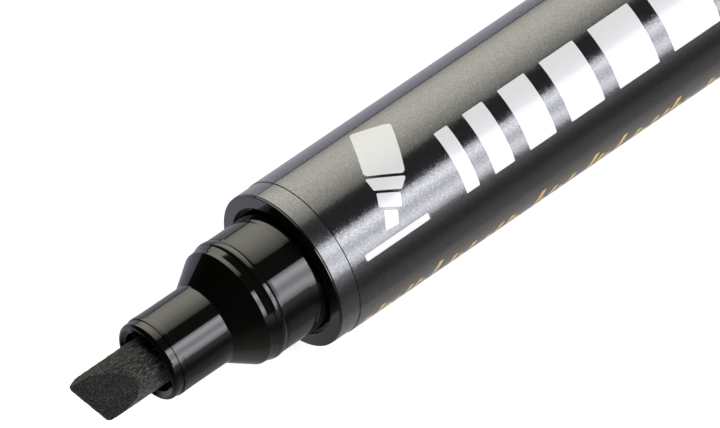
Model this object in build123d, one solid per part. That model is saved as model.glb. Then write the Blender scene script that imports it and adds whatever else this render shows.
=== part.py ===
"""Chisel-tip marker, uncapped, with its cap pushed onto the rear spigot.

Frame: millimetres. X runs along the marker, nib towards -X, cap towards +X. +Z is up, with the marker lying
on its side. The origin is on the axis, at the middle of the barrel. The sub-parts are made with x = 0 at the
barrel's mouth, and are moved to that origin when they are written.
"""

from build123d import *
import math
import os

# ---- Barrel ----
barrel_radius = 8.5  # outside of the printed film, the largest round size
film_thickness = 0.08
tube_wall = 0.45
tube_edge_round = 0.14
tube_length = 88.0  # mouth to the rear plug's flange
film_gap = 2.54  # bare lacquered tube at each end of the film

# ---- Front bush: the black ring at the barrel's mouth ----
bush_recess = 0.52  # gap round the collar at the mouth
bush_lip_stand = 0.07  # the front face's inner edge stands this far in front of its outer edge
bush_lip_round = 0.12
bush_edge = 0.2  # thickness of the outer edge that covers the tube's end
bush_edge_round = 0.08
bush_recess_depth = 0.95
bush_length = 6.0

# ---- Nose: the moulding that carries the nib ----
collar_radius = 6.44
root_rise = 0.135  # the collar's root, at the mouth and behind it, above the collar
root_taper = 1.25  # length over which the collar widens to its root
bead_height = 0.09  # snap bead above the collar
bead_groove = 0.05  # shallow groove behind the bead, below the collar
bead_groove_run = 0.28  # length over which the groove rises to the collar again
bead_from_mouth = 5.5
bead_half_width = 0.5
band_drop = 0.19  # narrow land in front of the bead, below the collar
band_length = 0.45
band_to_bead = 0.61  # length of the chamfer between the land and the bead
cone_length = 2.98
snout_radius = 4.265  # the small tube that carries the nib
snout_length = 6.2  # cone to the sleeve's flange
ridge_height = 0.045  # raised ring at the snout's front end
ridge_crown = 0.025  # how much of that height is the ring's rounded top
ridge_length = 0.63
ridge_edge = 0.12  # length of the slope at each side of the ring
ridge_fade = 1.16
nose_wall = 1.04
skirt_length = 5.8
skirt_wall = 0.44
flange_thickness = 1.2

# ---- Nib sleeve: the ribbed liner inside the snout ----
snout_wall = 0.525
sleeve_wall = 0.46
sleeve_flange_step = 0.12  # flange below the ridge next to it
sleeve_flange = 1.13
sleeve_flange_round = 0.4
sleeve_length = 12.2
mouth_chamfer = 0.5
rib_count = 6
rib_width = 0.5
rib_setback = 1.3
rib_turn = 35.0

# ---- Nib ----
nib_radius = 2.64
nib_reach = 7.47  # middle of the writing edge in front of the sleeve
nib_slant = 0.43  # how far the edge leans back, per mm across
nib_edge_thickness = 0.5
nib_facet_slope = 0.538  # rise of each facet per mm along the nib
nib_corner = 0.42
nib_side_ease = 0.34  # how much the long corner is narrowed
nib_side_ease_length = 4.2
nib_in_reservoir = 8.8
nib_point_length = 2.6
nib_point_radius = 0.9
nib_roll = 47.4  # turn of the chisel about the axis, from facet up

# ---- Reservoir ----
wrap_thickness = 0.12

# ---- Rear plug ----
plug_flange = 1.5
plug_depth = 8.4
plug_wall = 1.0
spigot_length = 7.0
spigot_bead_from_flange = 4.2

# ---- Cap ----
cap_length = 43.0  # mouth to closed end, with the end plug
cap_taper = 0.2  # narrowing from the mouth to the end plug
cap_wall = 1.3
cap_shoulder = 1.0
end_flange = 1.8
end_flange_round = 0.7
end_plug_skirt = 6.0
end_plug_wall = 1.0
grip_count = 8  # raised grips round the cap, which also stop the marker rolling
grip_width = 1.8
grip_start = 3.0
grip_length = 18.0
grip_round = 0.35
grip_root_depth = 0.5  # how deep each grip is rooted in the shell
liner_wall = 0.72
liner_set_back = 1.76  # liner's front behind the snout's wide end
liner_flange = 1.0
nib_room = 1.5  # free space beyond the nib in the capped state

# ---- Clip ----
clip_width = 5.0
clip_thickness = 1.5
clip_gap = 1.6
clip_length = 31.0
clip_foot = 4.0
clip_edge_round = 0.45
clip_tip_gap = 0.35  # free space between the clip's tip and the cap
clip_turn = 45.0  # from straight up, towards -Y

# ---- Clearances ----
free_fit = 0.02  # between pieces that are assembled without force
bead_fit = 0.05  # between the snap bead and the cap
liner_fit = 0.035  # between the snout's ridge and the liner
seat_gap = 0.04  # around the nose flange and the reservoir

# ---- Sizes that follow ----
tube_radius = barrel_radius - film_thickness
tube_bore = tube_radius - tube_wall
bush_lip_radius = collar_radius + bush_recess
root_radius = collar_radius + root_rise
bead_radius = collar_radius + bead_height
band_radius = collar_radius - band_drop
ridge_radius = snout_radius + ridge_height
sleeve_radius = snout_radius - snout_wall
sleeve_bore = sleeve_radius - sleeve_wall
sleeve_flange_radius = ridge_radius - sleeve_flange_step
skirt_bore = tube_bore - seat_gap - skirt_wall
wrap_radius = skirt_bore - seat_gap
reservoir_radius = wrap_radius - wrap_thickness
cap_end_radius = barrel_radius - cap_taper
cap_cavity_radius = cap_end_radius - cap_wall
cap_bore = bead_radius + bead_fit
liner_bore = ridge_radius + liner_fit

# ---- Stations along the marker that follow ----
bead_front = -bead_from_mouth - bead_half_width
band_end = bead_front - band_to_bead
cone_end = band_end - band_length
snout_start = cone_end - cone_length
sleeve_seat = snout_start - snout_length
nib_edge_x = sleeve_seat - sleeve_flange - nib_reach
nib_front = nib_edge_x - nib_slant * nib_radius
reservoir_start = bush_length + flange_thickness
reservoir_end = tube_length - plug_depth
cap_mouth = tube_length + plug_flange  # the posted cap rests on the rear plug's flange
shell_end = cap_mouth + cap_length - end_flange
cap_bore_depth = liner_set_back - snout_start
liner_depth = nib_room - nib_front
barrel_middle = tube_length / 2


def lathe(points):
    """Turns a closed outline of (x, radius) points about the marker's axis."""
    outline = make_face(Polyline(*points, close=True))
    return revolve(outline, Axis.X)


def ring(start, end, inner, outer):
    """A plain tube between two stations."""
    return lathe([(start, inner), (end, inner), (end, outer), (start, outer)])


def about_axis(shape, degrees):
    """Turns a shape about the marker's axis, taking +Z towards -Y."""
    return Rot(degrees, 0, 0) * shape


def edges_at(shape, x, radius, slack=0.01):
    """The circular edges of a turned shape at one station and radius."""
    found = []
    for edge in shape.edges().filter_by(GeomType.CIRCLE):
        place = edge.arc_center
        if abs(place.X - x) < slack and abs(edge.radius - radius) < slack:
            found.append(edge)
    return found


def bead(centre, half_width, crest, base):
    """A snap bead's rounded crest, as an arc from base height over the crest and back."""
    return ThreePointArc((centre - half_width, base), (centre, crest), (centre + half_width, base))


def make_barrel_tube():
    """Lacquered tube, open at both ends, with a rounded front edge."""
    tube = ring(bush_edge, tube_length, tube_bore, tube_radius)
    return fillet(edges_at(tube, bush_edge, tube_radius), tube_edge_round)


def make_label_film():
    """Printed film round the tube, with a softened front and rear edge."""
    film_end = tube_length - film_gap
    film = ring(film_gap, film_end, tube_radius, barrel_radius)
    rims = edges_at(film, film_gap, barrel_radius) + edges_at(film, film_end, barrel_radius)
    return fillet(rims, film_thickness * 0.6)


def make_front_bush():
    """Black ring that lines the tube's mouth and leaves a narrow recess round the collar."""
    edge_radius = tube_radius - 0.03
    bush = lathe(
        [
            (-bush_lip_stand, bush_lip_radius),
            (bush_recess_depth, bush_lip_radius),
            (bush_recess_depth, root_radius + free_fit),
            (bush_length, root_radius + free_fit),
            (bush_length, tube_bore),
            (bush_edge, tube_bore),
            (bush_edge, edge_radius),
            (0, edge_radius),
        ]
    )
    bush = fillet(edges_at(bush, 0, edge_radius), bush_edge_round)
    return fillet(edges_at(bush, -bush_lip_stand, bush_lip_radius), bush_lip_round)


def make_nib_holder():
    """Nose moulding: snout, cone, land, snap bead, collar, flange and the skirt that takes the reservoir."""
    bead_back = -bead_from_mouth + bead_half_width
    bead_base = collar_radius - bead_groove
    inner = collar_radius - nose_wall
    skirt_end = reservoir_start + skirt_length
    flange_radius = tube_bore - seat_gap
    sleeve_back = sleeve_seat + sleeve_length
    throat_end = sleeve_back + (inner - sleeve_radius) * 1.2
    ridge_base = ridge_radius - ridge_crown
    ridge_shoulder = ridge_radius - ridge_crown / 4
    outside_front = Polyline(
        (sleeve_seat, sleeve_radius + free_fit),
        (sleeve_seat, ridge_base),
        (sleeve_seat + ridge_edge, ridge_shoulder),
        (sleeve_seat + ridge_length / 2, ridge_radius),
        (sleeve_seat + ridge_length - ridge_edge, ridge_shoulder),
        (sleeve_seat + ridge_length, ridge_base),
        (sleeve_seat + ridge_length + ridge_fade, snout_radius),
        (snout_start, snout_radius),
        (cone_end, band_radius - 0.03),
        (band_end, band_radius),
        (bead_front, bead_base),
    )
    crest = bead(-bead_from_mouth, bead_half_width, bead_radius, bead_base)
    outside_rear = Polyline(
        (bead_back, bead_base),
        (bead_back + bead_groove_run, collar_radius),
        (-root_taper, collar_radius),
        (0, root_radius),
        (bush_length, root_radius),
        (bush_length, flange_radius),
        (skirt_end, flange_radius),
        (skirt_end, skirt_bore),
        (reservoir_start, skirt_bore),
        (reservoir_start, inner),
        (throat_end, inner),
        (sleeve_back, sleeve_radius + free_fit),
        (sleeve_seat, sleeve_radius + free_fit),
    )
    holder = revolve(make_face(outside_front + crest + outside_rear), Axis.X)
    holder = fillet(edges_at(holder, snout_start, snout_radius), 0.22)
    holder = fillet(edges_at(holder, cone_end, band_radius - 0.03), 0.05)
    return holder


def make_nib_sleeve():
    """Liner in the snout: a rounded mouth, and ribs that grip the nib and leave air channels between them."""
    front = sleeve_seat - sleeve_flange
    back = sleeve_seat + sleeve_length
    mouth_radius = sleeve_bore + mouth_chamfer
    sleeve = lathe(
        [
            (front, mouth_radius),
            (front + mouth_chamfer * 0.55, sleeve_bore),
            (back, sleeve_bore),
            (back, sleeve_radius),
            (sleeve_seat, sleeve_radius),
            (sleeve_seat, sleeve_flange_radius),
            (front, sleeve_flange_radius),
        ]
    )
    sleeve = fillet(edges_at(sleeve, front, sleeve_flange_radius), sleeve_flange_round)
    rib_start = front + rib_setback
    rib_reach = sleeve_radius - 0.1
    grip_radius = nib_radius + free_fit
    rib = Box(back - rib_start, rib_width, rib_reach, align=(Align.MIN, Align.CENTER, Align.MIN))
    rib = Pos(rib_start, 0, 0) * rib
    keep = ring(rib_start, back, grip_radius, rib_reach)
    for n in range(rib_count):
        sleeve += about_axis(rib & keep, rib_turn + n * 360 / rib_count)
    return sleeve


def make_nib():
    """Resin-bonded fibre rod with a slanted chisel edge in front and a blunt point in the reservoir."""
    shank_end = reservoir_start + nib_in_reservoir
    point_start = shank_end - nib_point_length
    rod = lathe(
        [
            (nib_front, 0),
            (shank_end, 0),
            (shank_end, nib_point_radius),
            (point_start, nib_radius),
            (nib_front, nib_radius),
        ]
    )
    long_side = nib_radius - nib_side_ease
    outline = make_face(
        Polyline(
            (nib_edge_x - nib_slant * long_side, long_side),
            (nib_front + nib_side_ease_length, nib_radius),
            (shank_end, nib_radius),
            (shank_end, -nib_radius),
            (nib_edge_x + nib_slant * nib_radius, -nib_radius),
            close=True,
        )
    )
    front_corners = outline.vertices().sort_by(Axis.X)[:3]
    outline = fillet([front_corners[0], front_corners[1]], nib_corner)
    rod &= extrude(outline, nib_radius, both=True)
    edge_line = Vector(-nib_slant, 1, 0)
    for side in (1, -1):
        rise = Vector(1, 0, nib_facet_slope * side)
        inward = edge_line.cross(rise) * side
        facet = Plane((nib_edge_x, 0, nib_edge_thickness / 2 * side), z_dir=inward)
        rod = rod.split(facet, keep=Keep.TOP)
    return about_axis(rod.solid(), nib_roll)


def make_ink_reservoir():
    """Fibre core that holds the ink, with the hole that the nib's point makes in it."""
    core = lathe(
        [
            (reservoir_start, 0),
            (reservoir_end, 0),
            (reservoir_end, reservoir_radius),
            (reservoir_start, reservoir_radius),
        ]
    )
    hole_end = reservoir_start + nib_in_reservoir
    hole = lathe(
        [
            (reservoir_start - 1.0, 0),
            (hole_end, 0),
            (hole_end, nib_point_radius + free_fit),
            (hole_end - nib_point_length, nib_radius + free_fit),
            (reservoir_start - 1.0, nib_radius + free_fit),
        ]
    )
    return core - hole


def make_reservoir_wrap():
    """Film sleeve round the fibre core, open at both ends."""
    return ring(reservoir_start, reservoir_end, reservoir_radius, wrap_radius)


def make_rear_plug():
    """Plug that closes the tube, with the spigot that the cap is pushed onto."""
    inner = collar_radius - nose_wall
    spigot_end = cap_mouth + spigot_length
    bead_middle = cap_mouth + spigot_bead_from_flange
    front = Polyline(
        (reservoir_end, tube_bore - plug_wall),
        (reservoir_end, tube_bore),
        (tube_length, tube_bore),
        (tube_length, tube_radius),
        (cap_mouth, tube_radius),
        (cap_mouth, collar_radius),
        (bead_middle - bead_half_width, collar_radius),
    )
    crest = bead(bead_middle, bead_half_width, bead_radius, collar_radius)
    rear = Polyline(
        (bead_middle + bead_half_width, collar_radius),
        (spigot_end, collar_radius),
        (spigot_end, 0),
        (spigot_end - plug_wall, 0),
        (spigot_end - plug_wall, inner),
        (tube_length - plug_wall, inner),
        (tube_length - plug_wall, tube_bore - plug_wall),
        (reservoir_end, tube_bore - plug_wall),
    )
    plug = revolve(make_face(front + crest + rear), Axis.X)
    plug = fillet(edges_at(plug, spigot_end, collar_radius), 0.6)
    return fillet(edges_at(plug, cap_mouth, tube_radius), 0.2)


def cap_outer_radius(station):
    """The cap's outside radius at a station along the marker."""
    share = (station - cap_mouth) / (shell_end - cap_mouth)
    return barrel_radius + (cap_end_radius - barrel_radius) * share


def make_grip():
    """One raised grip, as high as it takes for two of them to lie on the ground level with the barrel."""
    half_turn = math.pi / grip_count
    corner = grip_width / 2 - grip_round
    crest = grip_round + (barrel_radius - grip_round - corner * math.sin(half_turn)) / math.cos(half_turn)
    root = cap_end_radius - grip_root_depth
    outline = Plane.XY.offset(root) * SlotOverall(grip_length, grip_width)
    grip = extrude(outline, crest - root)
    grip = fillet(grip.edges().group_by(Axis.Z)[-1], grip_round)
    return Pos(cap_mouth + grip_start + grip_length / 2, 0, 0) * grip


def make_cap_shell():
    """Cap body: bore for the collar, shoulder for the liner, cavity, raised grips and the clip's slot."""
    shoulder = cap_mouth + cap_bore_depth
    hole = liner_bore + liner_wall + free_fit
    shell = lathe(
        [
            (cap_mouth, cap_bore),
            (shoulder, cap_bore),
            (shoulder, hole),
            (shoulder + cap_shoulder, hole),
            (shoulder + cap_shoulder, cap_cavity_radius),
            (shell_end, cap_cavity_radius),
            (shell_end, cap_end_radius),
            (cap_mouth, barrel_radius),
        ]
    )
    shell = fillet(edges_at(shell, cap_mouth, barrel_radius), 0.2)
    shell = chamfer(edges_at(shell, cap_mouth, cap_bore), 0.25)
    for n in range(grip_count):
        shell += about_axis(make_grip(), (n + 0.5) * 360 / grip_count)
    return shell - clip_slot()


def make_cap_liner():
    """Soft cup that seals on the snout and keeps the nib wet. Its flange bears on the shell's shoulder."""
    front = cap_mouth + cap_bore_depth
    seat = front + cap_shoulder
    depth = cap_mouth + liner_depth
    outer = liner_bore + liner_wall
    liner = lathe(
        [
            (front, liner_bore),
            (depth, liner_bore),
            (depth, 0),
            (depth + liner_wall, 0),
            (depth + liner_wall, outer),
            (seat + liner_flange, outer),
            (seat + liner_flange, cap_cavity_radius - free_fit),
            (seat, cap_cavity_radius - free_fit),
            (seat, outer),
            (front, outer),
        ]
    )
    liner = chamfer(edges_at(liner, front, liner_bore), 0.35)
    return fillet(edges_at(liner, depth + liner_wall, outer), 0.6)


def make_cap_end_plug():
    """Coloured plug that closes the cap. Its flange traps the clip's foot and its skirt fits the cavity."""
    end = shell_end + end_flange
    skirt = cap_cavity_radius - free_fit
    skirt_end = shell_end - end_plug_skirt
    plug = lathe(
        [
            (shell_end, 0),
            (end, 0),
            (end, cap_end_radius),
            (shell_end, cap_end_radius),
            (shell_end, skirt),
            (skirt_end, skirt),
            (skirt_end, skirt - end_plug_wall),
            (shell_end, skirt - end_plug_wall),
        ]
    )
    return fillet(edges_at(plug, end, cap_end_radius), end_flange_round)


def clip_levels():
    """Heights above the axis of the clip's underside and of its outer face."""
    under = cap_end_radius + clip_gap
    return under, under + clip_thickness


def clip_slot():
    """Slot through the shell's rear rim that takes the clip's foot."""
    slot = Box(
        clip_foot + free_fit,
        clip_width + 2 * free_fit,
        clip_gap + cap_end_radius - cap_cavity_radius + 1.0,
        align=(Align.MAX, Align.CENTER, Align.MIN),
    )
    return about_axis(Pos(shell_end, 0, cap_cavity_radius - 1.0) * slot, clip_turn)


def make_cap_clip():
    """Pocket clip: a foot in the shell's slot, a long arm and a rounded tip."""
    under, top = clip_levels()
    foot_front = shell_end - clip_foot
    tip = shell_end - clip_length
    tip_low = cap_outer_radius(tip) + clip_tip_gap
    side = make_face(
        Polyline(
            (foot_front, cap_cavity_radius),
            (shell_end, cap_cavity_radius),
            (shell_end, top),
            (tip, top),
            (tip, tip_low + 0.8),
            (tip + 0.9, tip_low),
            (tip + 2.4, tip_low),
            (tip + 4.6, under),
            (foot_front, under),
            close=True,
        )
    )
    clip = Rot(90, 0, 0) * extrude(side, clip_width / 2, both=True)
    top_edges = clip.edges().filter_by(Axis.X).group_by(Axis.Z)[-1]
    end_edges = clip.edges().filter_by(Axis.Y).group_by(Axis.Z)[-1]
    clip = fillet(top_edges + end_edges, clip_edge_round)
    return about_axis(clip, clip_turn)


makers = {
    "nib": make_nib,
    "nib_sleeve": make_nib_sleeve,
    "nib_holder": make_nib_holder,
    "front_bush": make_front_bush,
    "barrel_tube": make_barrel_tube,
    "label_film": make_label_film,
    "ink_reservoir": make_ink_reservoir,
    "reservoir_wrap": make_reservoir_wrap,
    "rear_plug": make_rear_plug,
    "cap_shell": make_cap_shell,
    "cap_liner": make_cap_liner,
    "cap_end_plug": make_cap_end_plug,
    "cap_clip": make_cap_clip,
}

os.makedirs("parts", exist_ok=True)
for name, make in makers.items():
    export_step(Pos(-barrel_middle, 0, 0) * make(), f"parts/{name}.step")
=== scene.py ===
"""Looks for a chisel-tip marker lying on a pale floor, uncapped, with its cap pushed onto the rear end."""
import math
import random

import bmesh
import bpy
from mathutils import Matrix, Vector, noise


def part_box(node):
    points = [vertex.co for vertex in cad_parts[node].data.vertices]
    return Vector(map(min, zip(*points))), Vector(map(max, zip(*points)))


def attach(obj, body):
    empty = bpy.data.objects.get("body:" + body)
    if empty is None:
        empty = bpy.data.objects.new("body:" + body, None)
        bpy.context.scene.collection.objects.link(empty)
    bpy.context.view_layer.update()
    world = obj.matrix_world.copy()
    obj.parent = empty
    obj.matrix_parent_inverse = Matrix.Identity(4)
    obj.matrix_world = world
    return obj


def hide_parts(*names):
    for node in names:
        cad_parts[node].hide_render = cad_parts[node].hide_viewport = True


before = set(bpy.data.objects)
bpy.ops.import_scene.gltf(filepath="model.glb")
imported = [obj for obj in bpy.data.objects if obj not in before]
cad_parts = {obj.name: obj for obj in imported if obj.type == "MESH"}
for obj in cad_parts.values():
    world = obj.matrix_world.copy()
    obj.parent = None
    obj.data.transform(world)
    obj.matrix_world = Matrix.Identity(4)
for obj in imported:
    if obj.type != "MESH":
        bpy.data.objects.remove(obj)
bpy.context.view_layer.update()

MM = 0.001

# ---- Places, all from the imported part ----
FILM_LOW, FILM_HIGH = (Vector(corner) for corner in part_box("label_film"))
BARREL_LOW = Vector(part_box("barrel_tube")[0])
NIB_LOW, NIB_HIGH = (Vector(corner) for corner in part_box("nib"))
SLEEVE_LOW = Vector(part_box("nib_sleeve")[0])
FILM_RADIUS = FILM_HIGH.z
# The bush's flange stands this far in front of the tube, and its face is the barrel's mouth.
FLANGE_DEPTH = 0.2 * MM
MOUTH_X = BARREL_LOW.x - FLANGE_DEPTH
FLOOR_Z = FILM_LOW.z

# ---- Camera ----
CAMERA_BACK = Vector((-0.4468, -0.4910, 0.7478))
CAMERA_UP = Vector((0.5033, 0.5531, 0.6638))
CAMERA_DISTANCE = 0.990
CAMERA_LENS = 515.0
SENSOR_WIDTH = 36.0
# The view's centre: along the marker from the mouth, then right and up in the view.
AIM_FROM_MOUTH = 0.92 * MM
AIM_RIGHT = 6.845 * MM
AIM_UP = 5.043 * MM


def make_camera():
    """Long-lens camera, above the marker and past its nib's end, turned to set it across the view."""
    data = bpy.data.cameras.new("camera")
    data.lens = CAMERA_LENS
    data.sensor_width = SENSOR_WIDTH
    data.clip_start = 0.05
    data.clip_end = 50.0
    camera = bpy.data.objects.new("camera", data)
    bpy.context.scene.collection.objects.link(camera)
    back = CAMERA_BACK.normalized()
    right = CAMERA_UP.cross(back).normalized()
    up = back.cross(right)
    aim = Vector((MOUTH_X + AIM_FROM_MOUTH, 0.0, 0.0)) + AIM_RIGHT * right + AIM_UP * up
    turn = Matrix((right, up, back)).transposed().to_4x4()
    camera.matrix_world = Matrix.Translation(aim + CAMERA_DISTANCE * back) @ turn
    bpy.context.scene.camera = camera


# ---- Light ----
# Angles are degrees from straight up towards -Y. Each stop is an angle and the brightness there.
BACK_BOX = [
    (-87.0, 1.25),
    (-80.0, 1.6),
    (-73.0, 2.2),
    (-65.0, 2.6),
    (-57.0, 3.0),
    (-44.0, 3.05),
    (-31.0, 2.7),
    (-25.0, 2.3),
    (-19.0, 1.9),
    (-13.0, 1.6),
    (-8.0, 1.2),
    (-3.0, 0.7),
    (-1.5, 0.4),
]
FRONT_BOX = [
    (33.5, 2.6),
    (36.0, 4.2),
    (38.5, 5.8),
    (43.5, 8.0),
    (48.6, 6.8),
    (53.8, 4.75),
    (59.0, 4.4),
    (64.0, 5.7),
    (69.6, 7.0),
    (75.0, 5.4),
    (80.0, 3.6),
    (83.3, 1.3),
]
# Brightness of the studio round the marker, as the gloss surfaces reflect it.
STUDIO = [
    (-180, (0.30, 0.29, 0.30)),
    (-135, (0.42, 0.40, 0.46)),
    (-91.5, (0.62, 0.59, 0.70)),
    (-90.0, (0.03, 0.03, 0.035)),
    (82, (0.02, 0.02, 0.02)),
    (84, (0.70, 0.70, 0.74)),
    (87, (0.62, 0.62, 0.64)),
    (92, (0.46, 0.46, 0.45)),
    (98, (0.21, 0.21, 0.20)),
    (104, (0.07, 0.07, 0.06)),
    (114, (0.03, 0.03, 0.03)),
    (120, (0.13, 0.14, 0.14)),
    (131, (0.21, 0.22, 0.22)),
    (148, (0.27, 0.26, 0.27)),
    (151, (0.40, 0.385, 0.36)),
    (180, (0.34, 0.33, 0.30)),
]
# The same for surfaces that face the nib's end of the studio.
STUDIO_FRONT = [
    (-180, (0.32, 0.31, 0.27)),
    (-150.5, (0.33, 0.32, 0.29)),
    (-146, (0.80, 0.76, 0.90)),
    (-120, (0.75, 0.71, 0.83)),
    (-95, (0.6, 0.57, 0.66)),
    (-90, (0.0, 0.0, 0.0)),
    (95, (0.0, 0.0, 0.0)),
    (130, (0.15, 0.15, 0.14)),
    (180, (0.34, 0.33, 0.30)),
]
# How far a reflection leans towards the nib's end (-X) where the one surround turns into the other.
FRONT_STARTS = -0.15
FRONT_FULL = -0.35
# How far it leans where the surround starts to dim, and where it is black.
DIM_STARTS = -0.5
DIM_FULL = -0.72
BOX_DISTANCE = 1.0
# Where each box starts and ends along the marker, from the mouth.
BACK_BOX_SPAN = (0.10, 1.30)
FRONT_BOX_SPAN = (0.10, 1.20)


class Nodes:
    """A node tree with a few short ways to add nodes."""

    def __init__(self, tree):
        self.tree = tree

    def link(self, source, target):
        self.tree.links.new(source, target)

    def add(self, kind, **settings):
        """A node with these settings. A name that starts with in_ is an input's."""
        node = self.tree.nodes.new(kind)
        for name, value in settings.items():
            if name.startswith("in_"):
                node.inputs[name[3:].replace("_", " ")].default_value = value
            else:
                setattr(node, name, value)
        return node

    def feed(self, source, socket):
        """Links a socket to an output, or sets it to a number or a colour."""
        if isinstance(source, (float, int)):
            socket.default_value = source
        elif isinstance(source, tuple):
            socket.default_value = (*source, 1.0)
        else:
            self.link(source, socket)

    def split(self, vector):
        node = self.add("ShaderNodeSeparateXYZ")
        self.link(vector, node.inputs["Vector"])
        return node.outputs

    def maths(self, operation, first, second):
        node = self.add("ShaderNodeMath", operation=operation)
        self.feed(first, node.inputs[0])
        self.feed(second, node.inputs[1])
        return node.outputs["Value"]

    def ramp(self, value, stops):
        """A colour ramp with these (place, colour) stops."""
        node = self.add("ShaderNodeValToRGB")
        elements = node.color_ramp.elements
        while len(elements) < len(stops):
            elements.new(0.5)
        for element, (place, colour) in zip(elements, stops):
            element.position = place
            element.color = (*colour, 1.0)
        self.link(value, node.inputs["Fac"])
        return node.outputs["Color"]

    def span(self, value, low, high, from_low=0.0, from_high=1.0):
        """Maps a value to a range, and holds it there."""
        node = self.add("ShaderNodeMapRange", in_To_Min=low, in_To_Max=high)
        node.inputs["From Min"].default_value = from_low
        node.inputs["From Max"].default_value = from_high
        self.link(value, node.inputs["Value"])
        return node.outputs["Result"]

    def mix(self, share, first, second, blend="MIX"):
        node = self.add("ShaderNodeMix", data_type="RGBA", blend_type=blend)
        colours = [socket for socket in node.inputs if socket.type == "RGBA"]
        self.feed(share, node.inputs["Factor"])
        self.feed(first, colours[0])
        self.feed(second, colours[1])
        return [socket for socket in node.outputs if socket.type == "RGBA"][0]


def softbox(name, stops, x_from, x_to, colour):
    """Soft light beside the marker, lengthwise along X, whose brightness changes across its width."""
    low_angle = stops[0][0]
    high_angle = stops[-1][0]
    middle = math.radians((low_angle + high_angle) / 2)
    half = math.radians((high_angle - low_angle) / 2)
    peak = max(level for _, level in stops)
    width = 2 * BOX_DISTANCE * math.tan(half)
    length = x_to - x_from
    data = bpy.data.lights.new(name, "AREA")
    data.shape = "RECTANGLE"
    data.size = length
    data.size_y = width
    data.energy = peak * math.pi * length * width
    data.color = colour
    data.use_nodes = True
    nodes = Nodes(data.node_tree)
    across_box = nodes.split(nodes.add("ShaderNodeNewGeometry").outputs["Parametric"])["Y"]
    places = []
    for angle, level in stops:
        share = (math.tan(math.radians(angle) - middle) / math.tan(half) + 1) / 2
        places.append((1 - share, (level / peak,) * 3))
    places.sort()
    shade = nodes.ramp(across_box, places)
    nodes.link(shade, nodes.tree.nodes["Emission"].inputs["Color"])
    light = bpy.data.objects.new(name, data)
    bpy.context.scene.collection.objects.link(light)
    outward = Vector((0.0, -math.sin(middle), math.cos(middle)))
    along = Vector((1.0, 0.0, 0.0))
    across = outward.cross(along)
    turn = Matrix((along, across, outward)).transposed().to_4x4()
    place = Vector((MOUTH_X + (x_from + x_to) / 2, 0.0, 0.0)) + BOX_DISTANCE * outward
    light.matrix_world = Matrix.Translation(place) @ turn


def make_lights():
    """A wide warm box behind and above, a bright cool box in front and above, and dark between them."""
    softbox("back_box", BACK_BOX, *BACK_BOX_SPAN, (1.0, 0.975, 0.85))
    softbox("front_box", FRONT_BOX, *FRONT_BOX_SPAN, (0.905, 0.905, 0.96))


def turn_stops(stops):
    """Stops by angle in degrees, as stops from 0 to 1 over a full turn."""
    return [((angle + 180) / 360, colour) for angle, colour in stops]


def make_world():
    """Plain studio: white to the camera, and dim grey bands in what the gloss surfaces reflect."""
    world = bpy.data.worlds.new("studio")
    world.use_nodes = True
    nodes = Nodes(world.node_tree)
    background = nodes.tree.nodes["Background"]
    way = nodes.split(nodes.add("ShaderNodeTexCoord").outputs["Generated"])
    angle = nodes.maths("ARCTAN2", nodes.maths("MULTIPLY", way["Y"], -1.0), way["Z"])
    share = nodes.span(angle, 0.0, 1.0, -math.pi, math.pi)
    side = nodes.ramp(share, turn_stops(STUDIO))
    front = nodes.ramp(share, turn_stops(STUDIO_FRONT))
    facing = nodes.span(way["X"], 0.0, 1.0, FRONT_STARTS, FRONT_FULL)
    shown = nodes.mix(facing, side, front)
    ray = nodes.add("ShaderNodeLightPath").outputs["Is Camera Ray"]
    nodes.link(nodes.mix(ray, shown, (1.0, 1.0, 1.0)), background.inputs["Color"])
    fade = nodes.span(way["X"], 0.0, 1.0, DIM_FULL, DIM_STARTS)
    nodes.link(nodes.maths("MAXIMUM", fade, ray), background.inputs["Strength"])
    bpy.context.scene.world = world
    bpy.context.scene.view_settings.view_transform = "Standard"
    bpy.context.scene.view_settings.look = "None"


# ---- Materials ----
FLAKES_PER_METRE = 19000.0
# Named value on the nib's points: 0 on its side, where fibres lie flat, and 1 where they are cut across.
CUT_ENDS = "cut_ends"


class Shader(Nodes):
    """A material with a Principled shader."""

    def __init__(self, name):
        self.material = bpy.data.materials.new(name)
        self.material.use_nodes = True
        super().__init__(self.material.node_tree)
        self.surface = self.tree.nodes["Principled BSDF"]

    def set(self, **sockets):
        for name, value in sockets.items():
            self.surface.inputs[name.replace("_", " ")].default_value = value

    def place(self, scale=(1, 1, 1)):
        """Object coordinates, in metres times scale."""
        coordinates = self.add("ShaderNodeTexCoord")
        mapping = self.add("ShaderNodeMapping", in_Scale=scale)
        self.link(coordinates.outputs["Object"], mapping.inputs["Vector"])
        return mapping.outputs["Vector"]

    def noise(self, vector, scale, detail=2.0, roughness=0.5):
        node = self.add("ShaderNodeTexNoise", in_Scale=scale, in_Detail=detail, in_Roughness=roughness)
        self.link(vector, node.inputs["Vector"])
        return node.outputs["Fac"]

    def bump(self, height, distance, strength=1.0, socket="Normal"):
        node = self.add("ShaderNodeBump", in_Distance=distance, in_Strength=strength)
        self.link(height, node.inputs["Height"])
        self.link(node.outputs["Normal"], self.surface.inputs[socket])


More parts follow.
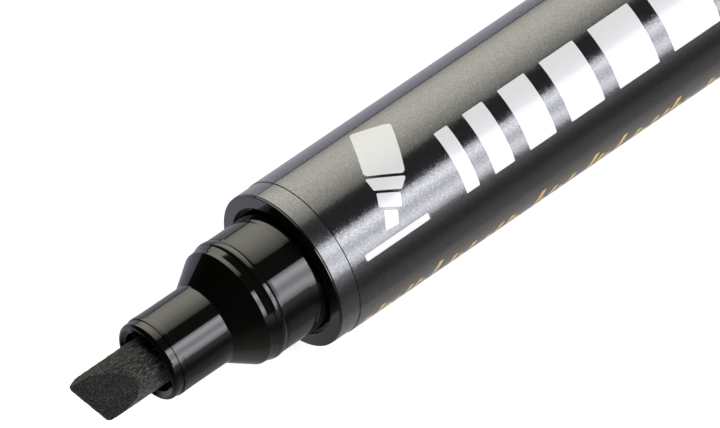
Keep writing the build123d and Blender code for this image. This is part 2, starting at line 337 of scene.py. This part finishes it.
def gloss_plastic(name, colour, roughness=0.06):
    """Moulded gloss plastic: faint flow waves in the surface, with drawing lines and haze in the gloss."""
    shader = Shader(name)
    shader.set(IOR=1.5)
    place = shader.place()
    haze = shader.noise(place, 900.0, 4.0, 0.6)
    lines = shader.noise(shader.place((30.0, 1400.0, 1400.0)), 1.0, 3.0, 0.6)
    both = shader.mix(0.5, haze, lines)
    worn = shader.span(both, roughness * 0.5, roughness * 1.6, 0.3, 0.7)
    shader.link(worn, shader.surface.inputs["Roughness"])
    tint = shader.mix(haze, tuple(c * 0.8 for c in colour), tuple(c * 1.25 for c in colour))
    shader.link(tint, shader.surface.inputs["Base Color"])
    flow = shader.noise(place, 160.0, 1.0)
    shader.bump(flow, 0.004 * MM)
    return shader.material


def metallic_lacquer(name, flake, roughness, spread):
    """Dark metallic paint: fine bright and dark flakes that each tilt a little, under a clear gloss coat."""
    shader = Shader(name)
    shader.set(Metallic=0.78, Roughness=roughness, Coat_Weight=1.0, Coat_Roughness=0.04, Coat_IOR=1.5)
    place = shader.place()
    flakes = shader.add("ShaderNodeTexVoronoi", in_Scale=FLAKES_PER_METRE)
    shader.link(place, flakes.inputs["Vector"])
    split = shader.add("ShaderNodeSeparateColor")
    shader.link(flakes.outputs["Color"], split.inputs["Color"])
    dark = tuple(c * 0.6 for c in flake)
    bright = tuple(c * 1.75 for c in flake)
    tone = shader.ramp(split.outputs["Red"], [(0.0, dark), (0.6, flake), (1.0, bright)])
    shader.link(tone, shader.surface.inputs["Base Color"])
    centred = shader.add("ShaderNodeVectorMath", operation="SUBTRACT")
    shader.link(flakes.outputs["Color"], centred.inputs[0])
    centred.inputs[1].default_value = (0.5, 0.5, 0.5)
    tilt = shader.add("ShaderNodeVectorMath", operation="SCALE")
    tilt.inputs["Scale"].default_value = spread * 2
    shader.link(centred.outputs["Vector"], tilt.inputs[0])
    geometry = shader.add("ShaderNodeNewGeometry")
    tilted = shader.add("ShaderNodeVectorMath", operation="ADD")
    shader.link(geometry.outputs["Normal"], tilted.inputs[0])
    shader.link(tilt.outputs["Vector"], tilted.inputs[1])
    unit = shader.add("ShaderNodeVectorMath", operation="NORMALIZE")
    shader.link(tilted.outputs["Vector"], unit.inputs[0])
    shader.link(unit.outputs["Vector"], shader.surface.inputs["Normal"])
    grain = shader.noise(place, 6500.0, 2.0, 0.6)
    shader.bump(grain, 0.0018 * MM, socket="Coat Normal")
    return shader.material


def print_ink(name, colour, roughness):
    """Screen-printed ink: slightly uneven in tone and gloss."""
    shader = Shader(name)
    shader.set(Coat_Weight=0.6, Coat_Roughness=0.12)
    place = shader.place()
    blotch = shader.noise(place, 2500.0, 4.0, 0.6)
    tint = shader.mix(blotch, tuple(c * 0.93 for c in colour), colour)
    shader.link(tint, shader.surface.inputs["Base Color"])
    shader.link(shader.span(blotch, roughness * 0.8, roughness * 1.2), shader.surface.inputs["Roughness"])
    shader.bump(blotch, 0.002 * MM)
    return shader.material


def bonded_fibre(name):
    """Inked felt: dark streaky fibres along the nib, with faint dye tints and a rough pile, darker on the
    faces cut across the fibres and a little lighter on the side, partly painted shade.
    """
    shader = Shader(name)
    shader.set(Sheen_Weight=0.12, Sheen_Roughness=0.6, Specular_IOR_Level=0.25)
    streak = shader.noise(shader.place((1700.0, 11000.0, 11000.0)), 1.0, 3.0, 0.7)
    speck = shader.noise(shader.place((9000.0, 15000.0, 15000.0)), 1.0, 2.0, 0.6)
    tone = shader.ramp(
        streak,
        [
            (0.38, (0.004, 0.004, 0.004)),
            (0.48, (0.016, 0.016, 0.016)),
            (0.54, (0.040, 0.040, 0.038)),
            (0.64, (0.130, 0.130, 0.122)),
        ],
    )
    grit = shader.ramp(speck, [(0.4, (0.2, 0.2, 0.2)), (0.6, (1.6, 1.6, 1.57))])
    tone = shader.mix(1.0, tone, grit, "MULTIPLY")
    dye = shader.noise(shader.place(), 700.0, 2.0, 0.5)
    tint = shader.ramp(
        dye,
        [
            (0.36, (0.92, 0.96, 1.14)),
            (0.46, (1.0, 1.0, 1.0)),
            (0.56, (1.02, 1.0, 0.98)),
            (0.66, (1.12, 1.09, 0.86)),
        ],
    )
    tone = shader.mix(1.0, tone, tint, "MULTIPLY")
    # Darker where the surface leans out of the nib's side (the cut facet and tip) and slightly lighter on
    # the side: partly the cut fibre ends' own darker tone, partly painted shade.
    cut = shader.add("ShaderNodeAttribute", attribute_name=CUT_ENDS)
    shade = shader.ramp(cut.outputs["Fac"], [(0.0, (1.05, 1.05, 1.05)), (1.0, (0.5, 0.5, 0.52))])
    tone = shader.mix(1.0, tone, shade, "MULTIPLY")
    shader.link(tone, shader.surface.inputs["Base Color"])
    shader.link(shader.span(speck, 0.75, 1.0), shader.surface.inputs["Roughness"])
    shader.bump(streak, 0.03 * MM, 0.8)
    return shader.material


def assign(node, material):
    """Gives a carried-over CAD node one material."""
    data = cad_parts[node].data
    data.materials.clear()
    data.materials.append(material)


def add_piece(name, mesh, material):
    """Puts a mesh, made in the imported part's frame, on the marker's body."""
    mesh.materials.append(material)
    piece = bpy.data.objects.new(name, mesh)
    bpy.context.scene.collection.objects.link(piece)
    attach(piece, "marker")
    return piece


# ---- Nib ----
NIB_FINE_LENGTH = 10.5 * MM
NIB_GRID = 0.07 * MM
# Where the wear's noise is read, so that it differs from other noise.
WEAR_PLACE = Vector((3.1, 7.7, 1.3))
# How much a point's surface leans out of the nib's side where it counts as fully cut across.
FULL_LEAN = 0.12
# The last stretch of the fine mesh, hidden in the sleeve, has no cut ends.
CUT_ENDS_STOP = 3 * MM
HAIR_COUNT = 420
HAIR_SEED = 11
HAIR_WIDTH = 0.011 * MM
HAIR_ROOT_DEPTH = 0.03 * MM
HAIR_FREE_TIP = 0.8 * MM


def fine_nib(cut_x):
    """The CAD nib's front, up to cut_x, as an even fine mesh."""
    work = bmesh.new()
    work.from_mesh(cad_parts["nib"].data)
    geometry = work.verts[:] + work.edges[:] + work.faces[:]
    cut = bmesh.ops.bisect_plane(
        work, geom=geometry, plane_co=(cut_x, 0, 0), plane_no=(1, 0, 0), clear_outer=True
    )
    rim = [item for item in cut["geom_cut"] if isinstance(item, bmesh.types.BMEdge)]
    bmesh.ops.contextual_create(work, geom=rim)
    data = bpy.data.meshes.new("nib_cut")
    work.to_mesh(data)
    work.free()
    holder = bpy.data.objects.new("nib_cut", data)
    bpy.context.scene.collection.objects.link(holder)
    remesh = holder.modifiers.new("remesh", "REMESH")
    remesh.mode = "VOXEL"
    remesh.voxel_size = NIB_GRID
    graph = bpy.context.evaluated_depsgraph_get()
    fine = bpy.data.meshes.new_from_object(holder.evaluated_get(graph))
    bpy.data.objects.remove(holder)
    work = bmesh.new()
    work.from_mesh(fine)
    work.normal_update()
    return work


def wear(work):
    """Sinks the surface a little, in streaks along the fibres."""
    moves = []
    for vertex in work.verts:
        place = vertex.co / MM
        streak = noise.noise(Vector((place.x * 1.1, place.y * 6.5, place.z * 6.5)) + WEAR_PLACE)
        pile = noise.noise(Vector((place.x * 5.0, place.y * 11.0, place.z * 11.0)) + WEAR_PLACE)
        broad = noise.noise(place * 1.1 + WEAR_PLACE)
        depth = 0.02 + 0.045 * streak + 0.03 * pile + 0.015 * broad
        moves.append(vertex.co - vertex.normal * max(depth, 0.0) * MM)
    for vertex, place in zip(work.verts, moves):
        vertex.co = place


def mark_cut_ends(work, cut_x):
    """Stores how far each point's surface is cut across the fibres, for the material."""
    work.normal_update()
    cut_ends = work.verts.layers.float.new(CUT_ENDS)
    for vertex in work.verts:
        outward = Vector((0.0, vertex.co.y, vertex.co.z)).normalized()
        leaning = 1.0 - max(vertex.normal.dot(outward), 0.0)
        shown = vertex.co.x < cut_x - CUT_ENDS_STOP
        vertex[cut_ends] = min(leaning / FULL_LEAN, 1.0) if shown else 0.0


def make_nib(material):
    """Felt nib: the CAD nib's visible end, worn rough along its fibres, with loose fibre ends."""
    cut_x = NIB_LOW.x + NIB_FINE_LENGTH
    work = fine_nib(cut_x)
    wear(work)
    hairs = random.Random(HAIR_SEED)
    skin = [face for face in work.faces if face.calc_center_median().x < SLEEVE_LOW.x]
    for _ in range(HAIR_COUNT):
        add_hair(work, hairs.choice(skin), hairs)
    add_rear(work, cut_x)
    mark_cut_ends(work, cut_x)
    for face in work.faces:
        face.smooth = True
    mesh = bpy.data.meshes.new("felt_nib")
    work.to_mesh(mesh)
    work.free()
    piece = add_piece("felt_nib", mesh, material)
    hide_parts("nib")


def add_hair(work, face, hairs):
    """One loose fibre end, a thin tapering three-sided spike lying back along the nib."""
    root = face.calc_center_median().copy()
    normal = face.normal.copy()
    along = Vector((hairs.choice((-1, 1)), 0, 0)) + normal * hairs.uniform(0.15, 0.5)
    side = along.cross(normal)
    if side.length < 0.2:
        return
    side.normalize()
    length = hairs.uniform(0.15, 0.45) * MM
    if root.x < NIB_LOW.x + HAIR_FREE_TIP:
        return
    tip = root + along.normalized() * length
    sunk = root - normal * HAIR_ROOT_DEPTH
    across = side * HAIR_WIDTH
    corners = [sunk + across, sunk - across, root + normal * HAIR_WIDTH, tip]
    points = [work.verts.new(corner) for corner in corners]
    for a, b, c in ((0, 1, 3), (1, 2, 3), (2, 0, 3), (0, 2, 1)):
        work.faces.new((points[a], points[b], points[c]))


def add_rear(work, cut_x):
    """The nib's hidden rear: the plain rod and its blunt point inside the reservoir."""
    radius = NIB_HIGH.z - 0.02 * MM
    blunt_end = 0.9 * MM
    taper = 2.6 * MM
    stations = [
        (cut_x - 0.2 * MM, 0.6 * radius),
        (cut_x - 0.1 * MM, radius),
        (NIB_HIGH.x - taper, radius),
        (NIB_HIGH.x - 0.05 * MM, blunt_end),
    ]
    steps = 48
    rings = []
    for x, r in stations:
        turned = [2 * math.pi * k / steps for k in range(steps)]
        rings.append([work.verts.new((x, r * math.cos(a), r * math.sin(a))) for a in turned])
    for near, far in zip(rings, rings[1:]):
        for k in range(steps):
            after = (k + 1) % steps
            work.faces.new((near[k], near[after], far[after], far[k]))
    work.faces.new(list(reversed(rings[0])))
    work.faces.new(rings[-1])


# ---- Print on the film ----
# The print's outer and inner face, from the film's surface.
PRINT_OUTSIDE = 0.014 * MM
PRINT_INSIDE = -0.006 * MM
# Longest straight step round the film, in mm.
PRINT_STEP = 0.25
# Where round the film the print's middle line is, from straight up towards -Y.
PRINT_TURN = math.radians(33.3)
# In mm from here on: x is from the mouth, w is round the film, and both bars and picture end at PRINT_FOOT.
FILM_START = (FILM_LOW.x - MOUTH_X) / MM
PRINT_FOOT = 4.0
GAUGE_START = 17.4
GAUGE_TOP = -2.75
GAUGE_GAP = 2.0
GAUGE_LEAN = 0.35
GAUGE_WIDTHS = (1.7, 2.6, 3.5, 4.4, 5.3, 6.2)
CORNER = 0.12
FINE_START = FILM_START + 1.2
FINE_END = 66.0
GROUP_GAP = 1.4
FINE_LEAN = 0.32


def print_slab(shape):
    """One outline as a flat slab, cut across every PRINT_STEP so that it can bend round the film."""
    sheet = bmesh.new()
    sheet.faces.new([sheet.verts.new((x, w, 0.0)) for x, w in shape])
    sheet.normal_update()
    if sheet.faces[:][0].normal.z < 0:
        bmesh.ops.reverse_faces(sheet, faces=sheet.faces[:])
    low = min(w for _, w in shape)
    high = max(w for _, w in shape)
    level = math.ceil(low / PRINT_STEP) * PRINT_STEP
    while level < high:
        geometry = sheet.verts[:] + sheet.edges[:] + sheet.faces[:]
        bmesh.ops.bisect_plane(sheet, geom=geometry, plane_co=(0, level, 0), plane_no=(0, 1, 0))
        level += PRINT_STEP
    bmesh.ops.triangulate(sheet, faces=sheet.faces[:])
    extruded = bmesh.ops.extrude_face_region(sheet, geom=sheet.faces[:])
    for item in extruded["geom"]:
        if isinstance(item, bmesh.types.BMVert):
            item.co.z = 1.0
    bmesh.ops.recalc_face_normals(sheet, faces=sheet.faces[:])
    slab = bpy.data.meshes.new("flat_print")
    sheet.to_mesh(slab)
    sheet.free()
    return slab


def print_mesh(name, shapes):
    """Thin ink on the film. Each shape is an outline of (x, w)."""
    whole = bmesh.new()
    for shape in shapes:
        slab = print_slab(shape)
        whole.from_mesh(slab)
        bpy.data.meshes.remove(slab)
    for vertex in whole.verts:
        x, w, level = vertex.co
        angle = w * MM / FILM_RADIUS + PRINT_TURN
        radius = FILM_RADIUS + (PRINT_OUTSIDE if level > 0.5 else PRINT_INSIDE)
        vertex.co = (MOUTH_X + x * MM, -radius * math.sin(angle), radius * math.cos(angle))
    bmesh.ops.recalc_face_normals(whole, faces=whole.faces[:])
    mesh = bpy.data.meshes.new(name)
    whole.to_mesh(mesh)
    whole.free()
    return mesh


def rounded(corners, radius, steps=6):
    """An outline with each corner rounded by an arc."""
    outline = []
    count = len(corners)
    for k in range(count):
        corner = Vector(corners[k])
        before = (Vector(corners[k - 1]) - corner).normalized()
        after = (Vector(corners[(k + 1) % count]) - corner).normalized()
        reach = min(radius / math.tan(before.angle(after) / 2), 2.2 * radius)
        start = corner + before * reach
        end = corner + after * reach
        for n in range(steps + 1):
            share = n / steps
            low = start.lerp(corner, share)
            outline.append(tuple(low.lerp(corner.lerp(end, share), share)))
    return outline


def pictogram():
    """A plain picture of a marker drawing a line."""
    tilt = math.radians(28)
    along = Vector((-math.sin(tilt), math.cos(tilt)))
    across = Vector((math.cos(tilt), math.sin(tilt)))
    foot = Vector((8.3, 2.7))
    nib_half = 0.75
    line_start = 4.4
    line_end = 12.6
    line_top = PRINT_FOOT - 0.7

    def block(start, end, near, far, rounding):
        """A piece of the marker between two distances from its foot, with its half widths there."""
        corners = [
            foot - along * start - across * near,
            foot - along * start + across * near,
            foot - along * end + across * far,
            foot - along * end - across * far,
        ]
        return rounded([tuple(corner) for corner in corners], rounding)

    tip = [
        tuple(foot - across * nib_half + along * 0.1),
        tuple(foot + across * nib_half - along * 0.55),
        tuple(foot - along * 1.9 + across * nib_half),
        tuple(foot - along * 1.9 - across * nib_half),
    ]
    line = [(line_start, line_top), (line_end, line_top), (line_end, PRINT_FOOT), (line_start, PRINT_FOOT)]
    return [
        rounded(tip, CORNER),
        block(2.2, 3.6, 1.25, 1.25, 0.15),
        block(3.9, 5.2, 1.45, 2.1, 0.2),
        block(5.5, 11.6, 2.1, 2.1, 0.5),
        rounded(line, 0.2),
    ]


def gauge_bars():
    """Slightly slanted bars of growing width, as a stroke gauge."""
    bars = []
    start = GAUGE_START
    for width in GAUGE_WIDTHS:
        top = start + GAUGE_LEAN
        upper = [(top, GAUGE_TOP), (top + width, GAUGE_TOP)]
        lower = [(start + width, PRINT_FOOT), (start, PRINT_FOOT)]
        bars.append(rounded(upper + lower, CORNER))
        start += width + GAUGE_GAP
    return bars


def fine_marks(seed, rows, height):
    """Rows of small slanted ticks and dashes in groups."""
    chance = random.Random(seed)
    stroke = 0.24 * height
    thick = 0.3 * height
    marks = []
    for row in rows:
        foot = row + height
        x = FINE_START
        while x < FINE_END:
            for _ in range(chance.choice((3, 4, 5, 7, 8))):
                tall = chance.choice((0.62, 0.62, 0.62, 1.0))
                width = chance.choice((0.45, 0.6, 0.85))
                top = row + height * (1 - tall)
                lean = FINE_LEAN * height * tall
                if chance.random() < 0.45:
                    end = x + width
                    marks.append([(x, foot - thick), (end, foot - thick), (end, foot), (x, foot)])
                else:
                    end = x + stroke
                    marks.append([(x + lean, top), (end + lean, top), (end, foot), (x, foot)])
                x += width + stroke
            x += GROUP_GAP
    return marks


def make_print():
    """White picture and gauge, with rows of fine gold marks below them."""
    white = print_ink("print_white", (0.80, 0.81, 0.81), 0.35)
    gold = print_ink("print_gold", (0.62, 0.42, 0.13), 0.4)
    for name, shapes, ink in (
        ("print_pictogram", pictogram(), white),
        ("print_gauge", gauge_bars(), white),
        ("print_fine_upper", fine_marks(5, (9.9,), 2.4), gold),
        ("print_fine_lower", fine_marks(6, (13.6, 16.0), 1.3), gold),
    ):
        add_piece(name, print_mesh(name, shapes), ink)


# ---- Floor and the CAD pieces' materials ----
def make_floor():
    """Pale studio floor under the marker."""
    size = 8.0
    mesh = bpy.data.meshes.new("floor")
    corners = [(-size, -size), (size, -size), (size, size), (-size, size)]
    mesh.from_pydata([(x, y, FLOOR_Z) for x, y in corners], [], [(0, 1, 2, 3)])
    floor = bpy.data.objects.new("floor", mesh)
    bpy.context.scene.collection.objects.link(floor)
    shader = Shader("floor")
    shader.set(Base_Color=(0.55, 0.55, 0.56, 1.0), Roughness=0.8, Emission_Strength=0.85)
    shader.set(Emission_Color=(1.0, 1.0, 1.0, 1.0))
    mesh.materials.append(shader.material)
    floor.visible_glossy = False


def node_materials():
    """Gives every CAD piece but the nib its material."""
    black = gloss_plastic("nose_black", (0.0036, 0.0037, 0.0030))
    for node in ("nib_sleeve", "nib_holder", "front_bush"):
        assign(node, black)
    assign("barrel_tube", metallic_lacquer("barrel_lacquer", (0.078, 0.080, 0.084), 0.22, 0.05))
    assign("label_film", metallic_lacquer("film_over_lacquer", (0.070, 0.071, 0.074), 0.11, 0.055))
    assign("rear_plug", gloss_plastic("rear_black", (0.0036, 0.0037, 0.0030)))
    cap = gloss_plastic("cap_black", (0.004, 0.0041, 0.0035))
    for node in ("cap_shell", "cap_clip"):
        assign(node, cap)
    assign("cap_end_plug", gloss_plastic("cap_end", (0.012, 0.012, 0.014)))
    assign("cap_liner", gloss_plastic("liner_soft", (0.62, 0.61, 0.58), 0.4))
    assign("reservoir_wrap", gloss_plastic("wrap_film", (0.7, 0.7, 0.68), 0.25))
    assign("ink_reservoir", gloss_plastic("reservoir_fibre", (0.05, 0.05, 0.06), 0.8))


make_camera()
make_world()
make_lights()
make_floor()
node_materials()
make_nib(bonded_fibre("nib_fibre"))
make_print()
